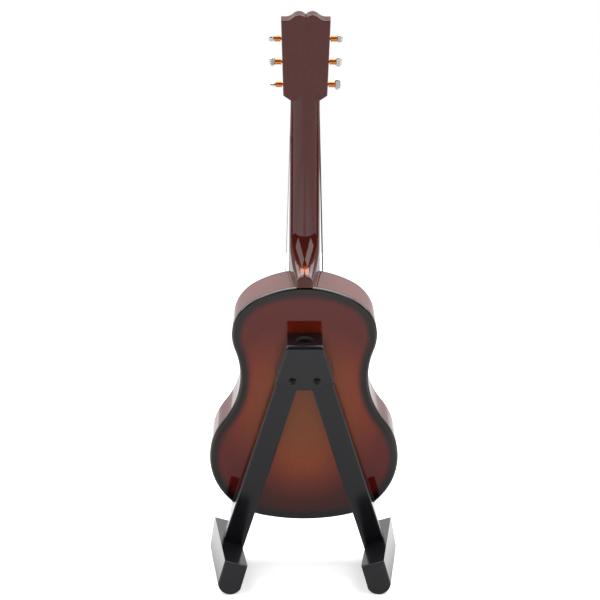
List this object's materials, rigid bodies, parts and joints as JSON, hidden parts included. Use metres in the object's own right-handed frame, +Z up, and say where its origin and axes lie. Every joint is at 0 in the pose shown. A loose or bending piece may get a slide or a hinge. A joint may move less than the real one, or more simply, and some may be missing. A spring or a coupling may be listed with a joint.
{
  "type": "miniature guitar on stand",
  "caption": "Miniature acoustic guitar leaning on a folding A-frame stand with spread legs, level feet and a pinned head.",
  "frame": {"origin": "centre of the overall box, on the floor the feet stand on", "axes": "+Z up, +X to the right as seen from the guitar's front, -Y the way the guitar's front faces"},
  "size_m": [0.0678, 0.0534, 0.1943],
  "materials": {
    "sunburst_back": "gloss brown lacquer, dark grey burst at the edge",
    "side_lacquer": "gloss reddish brown lacquer",
    "sunburst_top": "gloss amber sunburst",
    "rosette_inlay": "polished inlay",
    "block_wood": "bare wood",
    "neck_lacquer": "gloss dark reddish brown lacquer",
    "dark_hardwood": "oiled satin",
    "fret_wire": "polished",
    "pearl_inlay": "polished",
    "bone": "polished",
    "pin_plastic": "polished",
    "plain_string": "drawn wire",
    "wound_string": "bronze winding",
    "plated_metal": "plated",
    "gold_metal": "turned and ribbed, copper-gold",
    "silver_metal": "polished",
    "black_plastic": "moulded, satin",
    "rivet_steel": "black"
  },
  "bodies": {
    "stand": {"stand_head": "black_plastic", "hinge_pin_left": "rivet_steel", "hinge_pin_right": "rivet_steel"},
    "leg_left": {"leg_left": "black_plastic"},
    "leg_right": {"leg_right": "black_plastic"},
    "guitar": {"back_plate": "sunburst_back", "rib_left": "side_lacquer", "rib_right": "side_lacquer", "soundboard": "sunburst_top", "rosette": "rosette_inlay", "neck_block": "block_wood", "tail_block": "block_wood", "neck": "neck_lacquer", "heel_cap": "neck_lacquer", "fretboard": "dark_hardwood", "frets": "fret_wire", "position_dots": "pearl_inlay", "nut": "bone", "bridge": "dark_hardwood", "saddle": "bone", "bridge_pins": "pin_plastic", "string_1": "plain_string", "string_2": "plain_string", "string_3": "plain_string", "string_4": "wound_string", "string_5": "wound_string", "string_6": "wound_string", "string_posts": "plated_metal", "post_bushings": "plated_metal"},
    "peg_1": {"peg_barrel_1": "gold_metal", "peg_button_1": "silver_metal"},
    "peg_2": {"peg_barrel_2": "gold_metal", "peg_button_2": "silver_metal"},
    "peg_3": {"peg_barrel_3": "gold_metal", "peg_button_3": "silver_metal"},
    "peg_4": {"peg_barrel_4": "gold_metal", "peg_button_4": "silver_metal"},
    "peg_5": {"peg_barrel_5": "gold_metal", "peg_button_5": "silver_metal"},
    "peg_6": {"peg_barrel_6": "gold_metal", "peg_button_6": "silver_metal"}
  },
  "joints": [
    {"name": "guitar_lift", "type": "slide", "parent": "stand", "child": "guitar", "axis": [0, 0.213, 0.977], "range_m": [0, 0.06]},
    {"name": "leg_left_fold", "type": "hinge", "parent": "stand", "child": "leg_left", "pos_m": [-0.0041, 0.01163, 0.07411], "axis": [0, -0.977, 0.213], "range_deg": [0, 17.3]},
    {"name": "leg_right_fold", "type": "hinge", "parent": "stand", "child": "leg_right", "pos_m": [0.0041, 0.01163, 0.07411], "axis": [0, 0.977, -0.213], "range_deg": [0, 17.3]},
    {"name": "peg_1_turn", "type": "hinge", "parent": "guitar", "child": "peg_1", "pos_m": [0.00739, 0.01268, 0.17081], "axis": [1, 0, 0], "continuous": true},
    {"name": "peg_2_turn", "type": "hinge", "parent": "guitar", "child": "peg_2", "pos_m": [0.0076, 0.01609, 0.17819], "axis": [1, 0, 0], "continuous": true},
    {"name": "peg_3_turn", "type": "hinge", "parent": "guitar", "child": "peg_3", "pos_m": [0.00782, 0.01949, 0.18556], "axis": [1, 0, 0], "continuous": true},
    {"name": "peg_4_turn", "type": "hinge", "parent": "guitar", "child": "peg_4", "pos_m": [-0.00782, 0.01949, 0.18556], "axis": [-1, 0, 0], "continuous": true},
    {"name": "peg_5_turn", "type": "hinge", "parent": "guitar", "child": "peg_5", "pos_m": [-0.0076, 0.01609, 0.17819], "axis": [-1, 0, 0], "continuous": true},
    {"name": "peg_6_turn", "type": "hinge", "parent": "guitar", "child": "peg_6", "pos_m": [-0.00739, 0.01268, 0.17081], "axis": [-1, 0, 0], "continuous": true}
  ],
  "couplings": [
    {"joint": "leg_left_fold", "follows": "guitar_lift", "rad_per_m": 5.0033},
    {"joint": "leg_right_fold", "follows": "guitar_lift", "rad_per_m": 5.0033}
  ]
}
